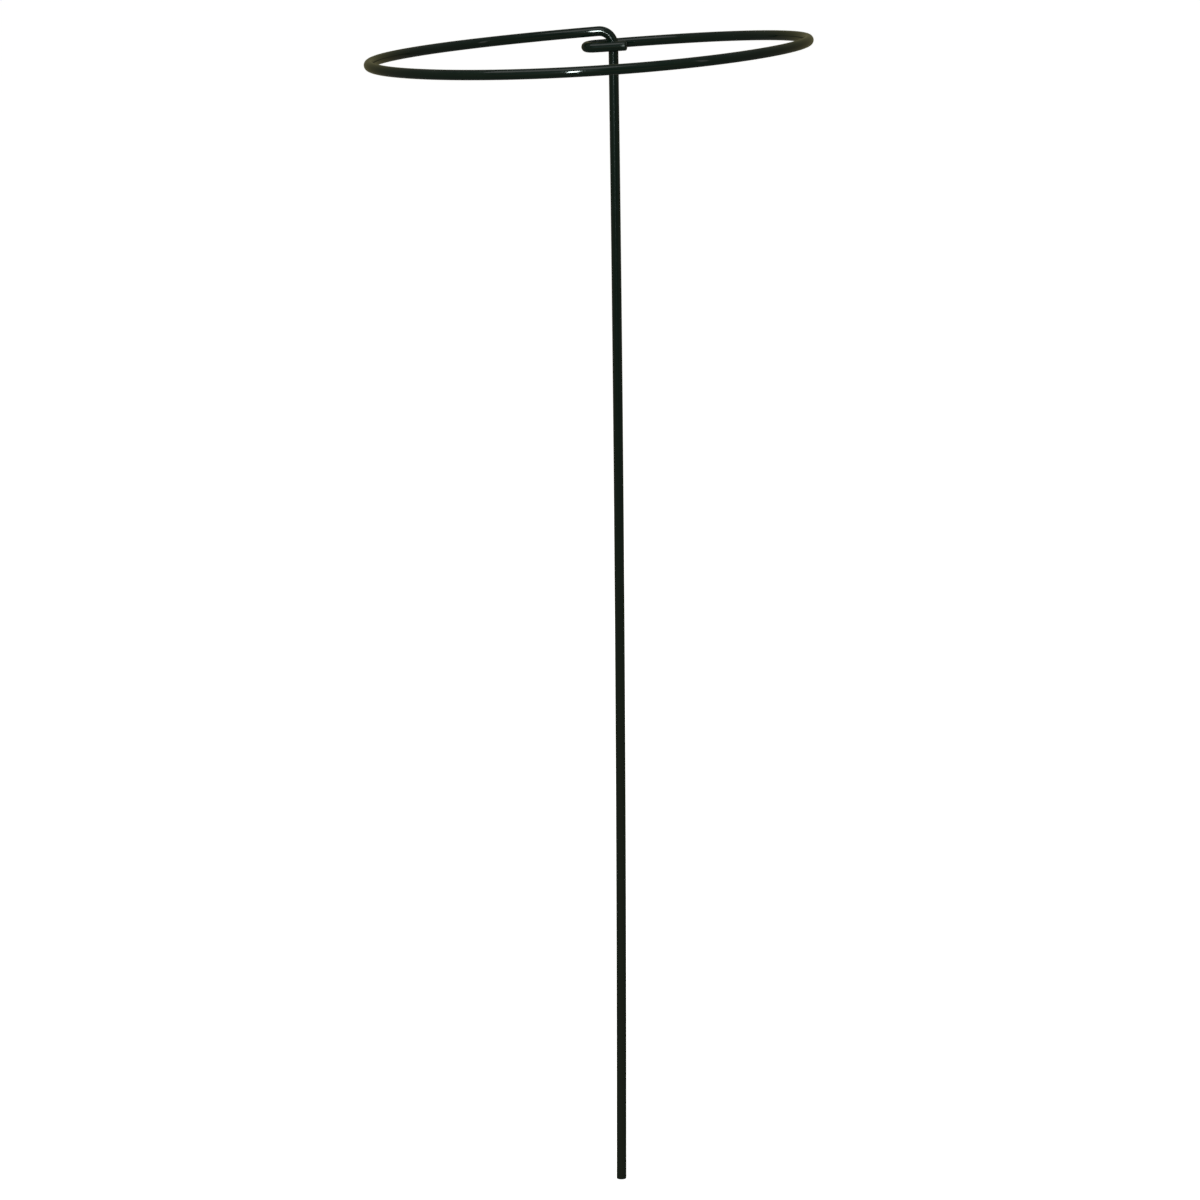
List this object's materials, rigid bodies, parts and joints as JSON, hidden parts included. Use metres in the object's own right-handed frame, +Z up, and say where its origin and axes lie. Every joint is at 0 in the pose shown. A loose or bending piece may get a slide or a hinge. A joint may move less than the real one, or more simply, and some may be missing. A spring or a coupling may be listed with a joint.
{
  "type": "plant support",
  "caption": "Single-stem plant support: a green plastic-coated steel rod bent into a tall stake, an open ring at the top and a hook that closes the ring round the stem.",
  "frame": {"origin": "centre of the flat face at the foot of the stem", "axes": "+Z up the stem; the ring lies on the -Y side of the stem; the rod leaves the stem's top towards -X and the hook's tip points to +X"},
  "size_m": [0.2753, 0.2789, 0.7536],
  "materials": {
    "bare_steel": "cut and slightly rounded rod end, satin",
    "dark_green_plastic": "gloss, dipped after bending"
  },
  "bodies": {
    "root": {"steel_rod": "bare_steel", "plastic_coating": "dark_green_plastic"}
  },
  "joints": []
}
